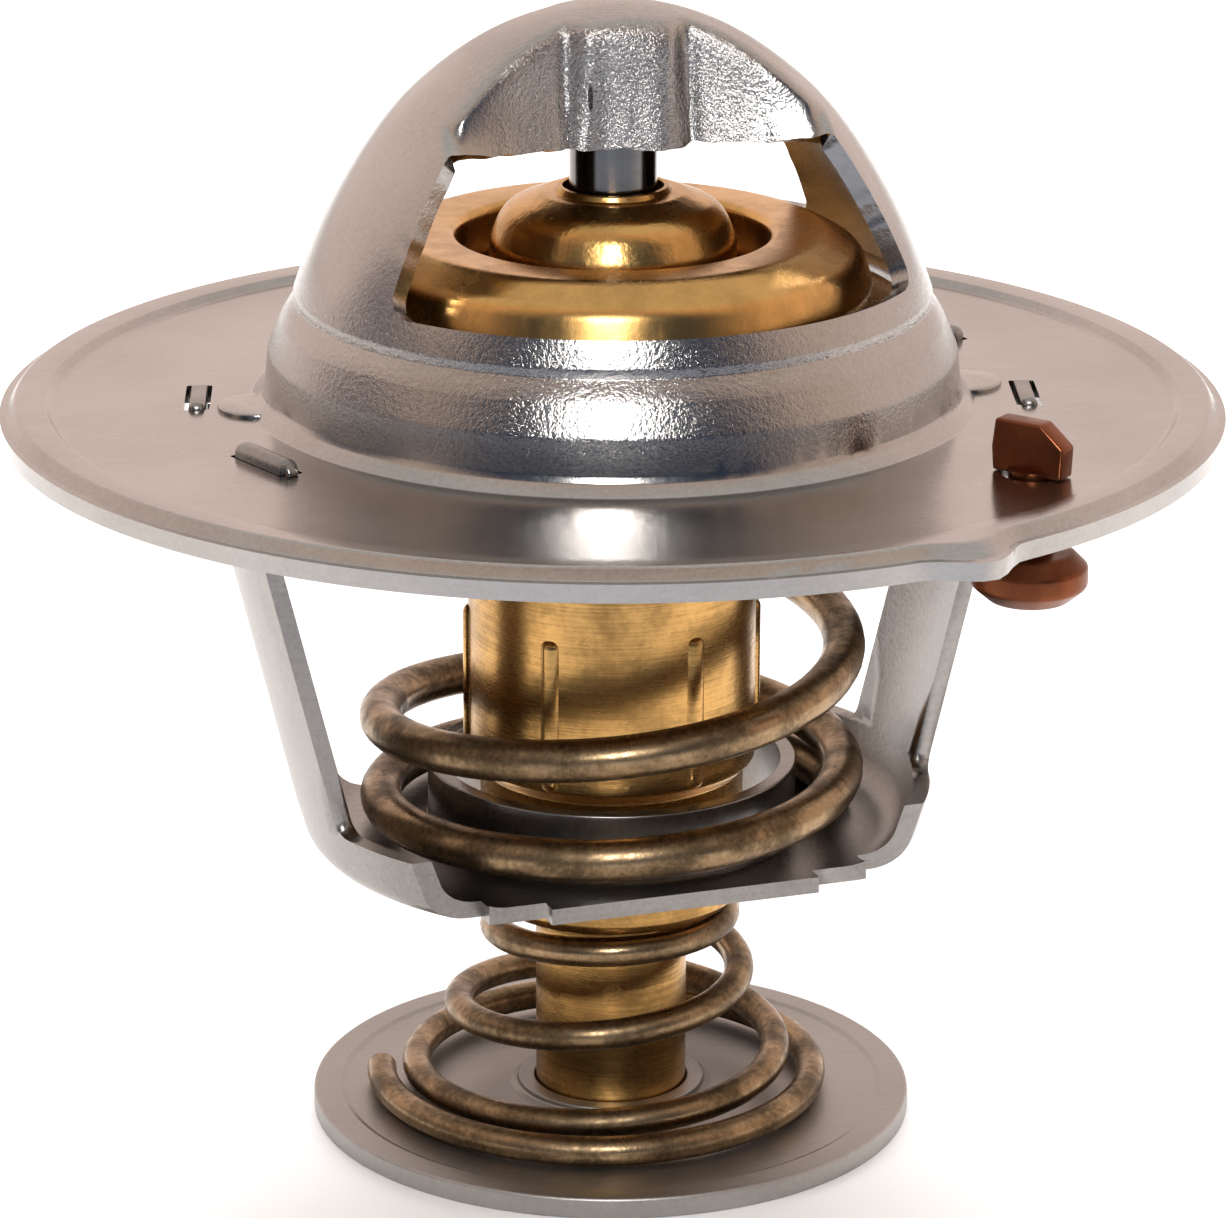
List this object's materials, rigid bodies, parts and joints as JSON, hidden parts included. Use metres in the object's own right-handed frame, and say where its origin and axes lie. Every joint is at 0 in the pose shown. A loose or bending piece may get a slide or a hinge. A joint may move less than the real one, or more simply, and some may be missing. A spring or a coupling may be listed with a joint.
{
  "type": "engine coolant thermostat",
  "caption": "Wax-capsule engine thermostat: round sheet flange with domed bridge, brass valve and capsule, coil springs in a stirrup frame and a bypass disc below.",
  "frame": {"origin": "middle of the underside of the bypass disc, on the axis of the thermostat", "axes": "+Z runs along the piston from the bypass disc to the crown of the bridge; the legs of the bridge stand on the X axis"},
  "size_m": [0.067, 0.067, 0.0636],
  "materials": {
    "flange_steel": "rolled sheet, drawn and slightly worn",
    "frame_steel": "rolled sheet",
    "piston_steel": "ground and polished",
    "spring_steel": "drawn wire, brown tinted",
    "head_brass": "turned",
    "cup_brass": "drawn, slightly tarnished",
    "stem_brass": "turned",
    "washer_steel": "stamped",
    "boot_rubber": "moulded",
    "wax": "wax with copper powder, stands in for wax",
    "valve_brass": "pressed, slightly tarnished",
    "clip_steel": "drawn wire",
    "bypass_spring_steel": "drawn wire, brown tinted",
    "disc_steel": "stamped sheet",
    "pin_copper": "stamped and riveted, brown"
  },
  "bodies": {
    "housing": {"flange_bridge": "flange_steel", "spring_frame": "frame_steel", "piston": "piston_steel", "main_spring": "spring_steel"},
    "capsule": {"valve_dish": "valve_brass", "guide_head": "head_brass", "capsule_cup": "cup_brass", "bypass_stem": "stem_brass", "boot_washer": "washer_steel", "rubber_boot": "boot_rubber", "wax_charge": "wax", "stem_clip": "clip_steel", "bypass_spring": "bypass_spring_steel"},
    "bypass": {"bypass_disc": "disc_steel"},
    "vent_pin": {"jiggle_pin": "pin_copper"}
  },
  "joints": [
    {"name": "valve_lift", "type": "slide", "parent": "housing", "child": "capsule", "axis": [0, 0, -1], "range_m": [0, 0.008], "stiffness_N_per_m": 2000, "springref_m": -0.02, "deforming": ["main_spring"]},
    {"name": "bypass_slide", "type": "slide", "parent": "capsule", "child": "bypass", "axis": [0, 0, 1], "range_m": [0, 0.005], "stiffness_N_per_m": 1000, "springref_m": -0.01, "deforming": ["bypass_spring"]},
    {"name": "pin_slide", "type": "slide", "parent": "housing", "child": "vent_pin", "axis": [0, 0, 1], "range_m": [0, 0.0028]}
  ]
}
